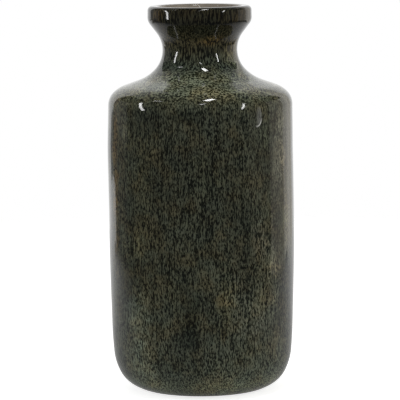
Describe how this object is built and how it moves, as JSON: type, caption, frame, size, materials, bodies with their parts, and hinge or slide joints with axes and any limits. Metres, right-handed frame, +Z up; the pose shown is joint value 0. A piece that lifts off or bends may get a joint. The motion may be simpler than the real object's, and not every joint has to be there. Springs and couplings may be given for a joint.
{
  "type": "bottle vase",
  "caption": "Tall barrel-shaped bottle vase with a flat shoulder, pinched neck and thick flared collar, in dark glossy streaked glaze over stoneware.",
  "frame": {"origin": "centre of the footprint, on the surface that the felt pads stand on", "axes": "+Z up along the axis that the vase is turned about; the pads lie on the diagonals between X and Y"},
  "size_m": [0.1846, 0.1846, 0.3815],
  "materials": {
    "bare_stoneware": "matt, fine-grained, unglazed buff-brown clay",
    "streaked_glaze": "glossy, near black with fine olive, taupe and rust streaks",
    "liner_glaze": "glossy, plain dark brown",
    "felt": "matt pressed felt"
  },
  "bodies": {
    "root": {"clay_body": "bare_stoneware", "outer_glaze": "streaked_glaze", "liner_glaze": "liner_glaze", "felt_pad_1": "felt", "felt_pad_2": "felt", "felt_pad_3": "felt", "felt_pad_4": "felt"}
  },
  "joints": []
}
